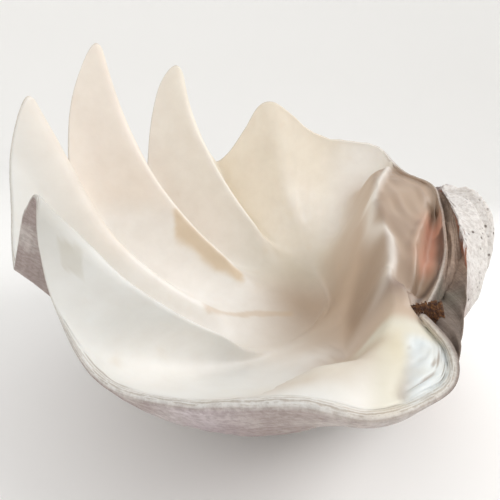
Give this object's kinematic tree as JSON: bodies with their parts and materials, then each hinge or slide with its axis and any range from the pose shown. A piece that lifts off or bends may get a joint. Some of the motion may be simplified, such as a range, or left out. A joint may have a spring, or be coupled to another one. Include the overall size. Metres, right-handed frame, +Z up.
{
  "type": "giant clam shell valve",
  "caption": "One valve of a giant clam lying on its outer side, hollow up: a fluted bowl with tall wavy teeth on the margin and a thick hinge end, for display or as a basin.",
  "frame": {"origin": "middle of the bounding box's footprint, on the plane the valve rests on", "axes": "+Z up out of the hollow; +Y along the hinge, towards the far corner of the margin; +X from the teeth to the hinge and beak"},
  "size_m": [0.5638, 0.5752, 0.4067],
  "materials": {
    "shell": "natural aragonite shell: satin porcelain-like layer inside, chalky striated layer outside",
    "ligament": "dry fibrous ligament, matt dark brown"
  },
  "bodies": {
    "root": {"shell_valve": "shell", "ligament_remnant": "ligament"}
  },
  "joints": []
}
